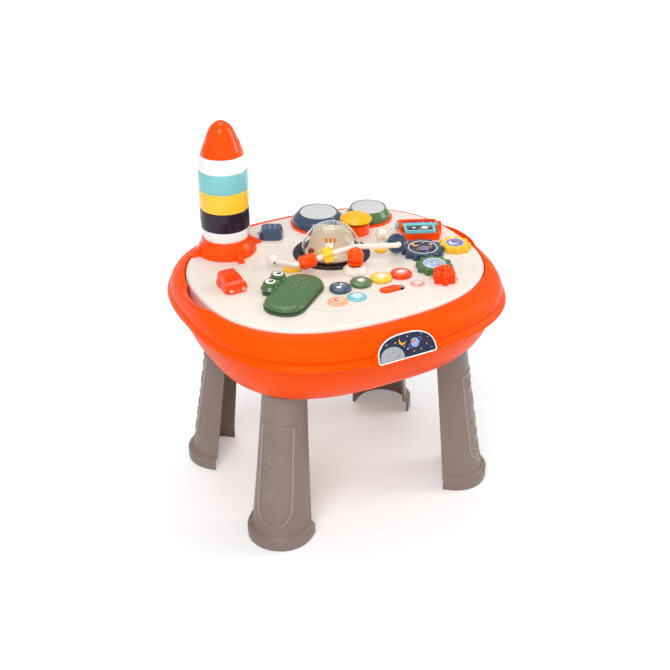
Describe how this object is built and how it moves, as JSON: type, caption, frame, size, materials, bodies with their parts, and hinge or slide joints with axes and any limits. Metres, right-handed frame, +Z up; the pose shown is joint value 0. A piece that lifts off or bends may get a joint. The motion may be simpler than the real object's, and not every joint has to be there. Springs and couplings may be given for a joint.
{
  "type": "musical activity table",
  "caption": "Play table on four legs: a storage tub under a lift-off panel with stacking rocket, drums, dome, bead run, lidded mouth, buttons, gears, flip book and sliders",
  "frame": {"origin": "on the floor under the middle of the table", "axes": "+Z up, +X to the right along the length, -Y toward the grip side"},
  "size_m": [0.431, 0.4059, 0.5073],
  "materials": {
    "orange_plastic": "moulded, semi-gloss",
    "cream_plastic": "moulded, semi-gloss",
    "taupe_plastic": "moulded, satin",
    "navy_plastic": "moulded, semi-gloss",
    "plum_plastic": "moulded, semi-gloss",
    "yellow_plastic": "moulded, semi-gloss",
    "teal_plastic": "moulded, semi-gloss",
    "green_plastic": "moulded, semi-gloss",
    "white_plastic": "moulded, semi-gloss",
    "red_plastic": "moulded, semi-gloss",
    "peach_plastic": "moulded, semi-gloss",
    "pink_plastic": "moulded, semi-gloss",
    "dark_green_plastic": "moulded, semi-gloss",
    "clear_plastic": "clear moulded dome",
    "steel": "plated",
    "board": "coated board",
    "cell": "printed sleeve",
    "cone_black": "paper cone in a frame"
  },
  "bodies": {
    "table": {"lower_tub": "orange_plastic", "upper_rim": "orange_plastic", "grip_tab": "orange_plastic", "leg_front_left": "taupe_plastic", "leg_front_right": "taupe_plastic", "leg_rear_left": "taupe_plastic", "leg_rear_right": "taupe_plastic", "leg_screws": "steel"},
    "panel": {"panel_top": "cream_plastic", "panel_back": "cream_plastic", "battery_door": "cream_plastic", "panel_screws": "steel", "batteries": "cell", "circuit_board": "board", "speaker": "cone_black", "rocket_base": "orange_plastic", "rocket_post": "white_plastic", "drum_deck": "orange_plastic", "drum_left_shell": "navy_plastic", "drum_right_shell": "green_plastic", "dome_dish": "plum_plastic", "dome_glass": "clear_plastic", "rod_posts": "cream_plastic", "post_shoes": "yellow_plastic", "bead_rod": "cream_plastic", "joystick_boot": "cream_plastic", "croc_base": "dark_green_plastic", "croc_pin": "steel", "book_frame": "orange_plastic"},
    "white_low_ring": {"ring_white_low": "white_plastic"},
    "navy_ring": {"ring_navy": "plum_plastic"},
    "yellow_ring": {"ring_yellow": "yellow_plastic"},
    "teal_ring": {"ring_teal": "teal_plastic"},
    "white_top_ring": {"ring_white_top": "white_plastic"},
    "nose": {"nose_cone": "orange_plastic"},
    "left_head": {"drum_left_head": "white_plastic"},
    "right_head": {"drum_right_head": "white_plastic"},
    "cymbal": {"cymbal_cap": "yellow_plastic"},
    "cat": {"cat_figure": "cream_plastic"},
    "barrel": {"barrel_bead": "orange_plastic"},
    "star": {"star_bead": "yellow_plastic"},
    "wheel": {"wheel_bead": "navy_plastic"},
    "gimbal": {"joystick_gimbal": "steel"},
    "stick": {"joystick_ball": "orange_plastic"},
    "lid": {"croc_lid": "green_plastic"},
    "key_navy": {"button_navy": "navy_plastic"},
    "key_green": {"button_green": "green_plastic"},
    "key_yellow": {"button_yellow": "yellow_plastic"},
    "key_red": {"button_red": "red_plastic"},
    "key_peach": {"button_peach": "peach_plastic"},
    "key_teal": {"button_teal": "teal_plastic"},
    "key_pink": {"button_pink": "pink_plastic"},
    "switch": {"mode_switch": "orange_plastic"},
    "navy_wheel": {"gear_navy": "navy_plastic"},
    "yellow_wheel": {"gear_yellow": "yellow_plastic"},
    "green_wheel": {"gear_green": "green_plastic"},
    "red_knob": {"knob_red": "red_plastic"},
    "page": {"flip_page": "teal_plastic"},
    "red_car": {"slider_red": "red_plastic"},
    "navy_car": {"slider_navy": "navy_plastic"}
  },
  "joints": [
    {"name": "panel_lift", "type": "slide", "parent": "table", "child": "panel", "axis": [0, 0, 1], "range_m": [0, 0.08]},
    {"name": "white_low_ring_lift", "type": "slide", "parent": "panel", "child": "white_low_ring", "axis": [0, 0, 1], "range_m": [0, 0.03]},
    {"name": "navy_ring_lift", "type": "slide", "parent": "white_low_ring", "child": "navy_ring", "axis": [0, 0, 1], "range_m": [0, 0.03]},
    {"name": "yellow_ring_lift", "type": "slide", "parent": "navy_ring", "child": "yellow_ring", "axis": [0, 0, 1], "range_m": [0, 0.03]},
    {"name": "teal_ring_lift", "type": "slide", "parent": "yellow_ring", "child": "teal_ring", "axis": [0, 0, 1], "range_m": [0, 0.03]},
    {"name": "white_top_ring_lift", "type": "slide", "parent": "teal_ring", "child": "white_top_ring", "axis": [0, 0, 1], "range_m": [0, 0.03]},
    {"name": "nose_lift", "type": "slide", "parent": "white_top_ring", "child": "nose", "axis": [0, 0, 1], "range_m": [0, 0.04]},
    {"name": "left_head_press", "type": "slide", "parent": "panel", "child": "left_head", "axis": [0, 0, -1], "range_m": [0, 0.002], "stiffness_N_per_m": 300, "springref_m": -0.002},
    {"name": "right_head_press", "type": "slide", "parent": "panel", "child": "right_head", "axis": [0, 0, -1], "range_m": [0, 0.002], "stiffness_N_per_m": 300, "springref_m": -0.002},
    {"name": "cymbal_press", "type": "slide", "parent": "panel", "child": "cymbal", "axis": [0, 0, -1], "range_m": [0, 0.002], "stiffness_N_per_m": 300, "springref_m": -0.002},
    {"name": "cat_spin", "type": "hinge", "parent": "panel", "child": "cat", "pos_m": [0.01, 0.03, 0.324], "axis": [0, 0, 1], "continuous": true},
    {"name": "barrel_slide", "type": "slide", "parent": "panel", "child": "barrel", "axis": [0.9599, -0.2016, 0.1949], "range_m": [-0.0012, 0.004]},
    {"name": "star_slide", "type": "slide", "parent": "panel", "child": "star", "axis": [0.9599, -0.2016, 0.1949], "range_m": [-0.0035, 0.0025]},
    {"name": "wheel_slide", "type": "slide", "parent": "panel", "child": "wheel", "axis": [0.1356, 0.9723, -0.1905], "range_m": [0, 0.014]},
    {"name": "joystick_tilt", "type": "hinge", "parent": "panel", "child": "gimbal", "pos_m": [0.0112, -0.0338, 0.318], "axis": [1, 0, 0], "range_deg": [-6, 6], "stiffness_Nm_per_rad": 0.02},
    {"name": "joystick_lean", "type": "hinge", "parent": "gimbal", "child": "stick", "pos_m": [0.0112, -0.0338, 0.318], "axis": [0, 1, 0], "range_deg": [-9, 9], "stiffness_Nm_per_rad": 0.02},
    {"name": "lid_open", "type": "hinge", "parent": "panel", "child": "lid", "pos_m": [-0.10286, -0.01263, 0.3285], "axis": [-0.7705, -0.6374, 0], "range_deg": [0, 35]},
    {"name": "key_navy_press", "type": "slide", "parent": "panel", "child": "key_navy", "axis": [0, 0, -1], "range_m": [0, 0.002], "stiffness_N_per_m": 300, "springref_m": -0.001},
    {"name": "key_green_press", "type": "slide", "parent": "panel", "child": "key_green", "axis": [0, 0, -1], "range_m": [0, 0.002], "stiffness_N_per_m": 300, "springref_m": -0.001},
    {"name": "key_yellow_press", "type": "slide", "parent": "panel", "child": "key_yellow", "axis": [0, 0, -1], "range_m": [0, 0.002], "stiffness_N_per_m": 300, "springref_m": -0.001},
    {"name": "key_red_press", "type": "slide", "parent": "panel", "child": "key_red", "axis": [0, 0, -1], "range_m": [0, 0.002], "stiffness_N_per_m": 300, "springref_m": -0.001},
    {"name": "key_peach_press", "type": "slide", "parent": "panel", "child": "key_peach", "axis": [0, 0, -1], "range_m": [0, 0.002], "stiffness_N_per_m": 300, "springref_m": -0.001},
    {"name": "key_teal_press", "type": "slide", "parent": "panel", "child": "key_teal", "axis": [0, 0, -1], "range_m": [0, 0.002], "stiffness_N_per_m": 300, "springref_m": -0.001},
    {"name": "key_pink_press", "type": "slide", "parent": "panel", "child": "key_pink", "axis": [0, 0, -1], "range_m": [0, 0.002], "stiffness_N_per_m": 300, "springref_m": -0.001},
    {"name": "switch_slide", "type": "slide", "parent": "panel", "child": "switch", "axis": [1, 0, 0], "range_m": [0, 0.006]},
    {"name": "navy_wheel_spin", "type": "hinge", "parent": "panel", "child": "navy_wheel", "pos_m": [0.12, -0.026, 0.3227], "axis": [0, 0, 1], "continuous": true},
    {"name": "yellow_wheel_spin", "type": "hinge", "parent": "panel", "child": "yellow_wheel", "pos_m": [0.1666, -0.0338, 0.3227], "axis": [0, 0, 1], "continuous": true},
    {"name": "green_wheel_spin", "type": "hinge", "parent": "panel", "child": "green_wheel", "pos_m": [0.10802, -0.07403, 0.3227], "axis": [0, 0, 1], "continuous": true},
    {"name": "red_knob_spin", "type": "hinge", "parent": "panel", "child": "red_knob", "pos_m": [0.10085, -0.10931, 0.3227], "axis": [0, 0, 1], "continuous": true},
    {"name": "page_turn", "type": "hinge", "parent": "panel", "child": "page", "pos_m": [0.1465, 0.028, 0.3363], "axis": [-0.9135, 0.4067, 0], "range_deg": [0, 150]},
    {"name": "red_car_slide", "type": "slide", "parent": "panel", "child": "red_car", "axis": [0, 1, 0], "range_m": [-0.014, 0.036]},
    {"name": "navy_car_slide", "type": "slide", "parent": "panel", "child": "navy_car", "axis": [-0.4226, 0.9063, 0], "range_m": [0, 0.02]}
  ],
  "couplings": [
    {"joint": "yellow_wheel_spin", "follows": "navy_wheel_spin", "ratio": -1.3333},
    {"joint": "green_wheel_spin", "follows": "navy_wheel_spin", "ratio": -1.2},
    {"joint": "red_knob_spin", "follows": "navy_wheel_spin", "ratio": 2}
  ]
}
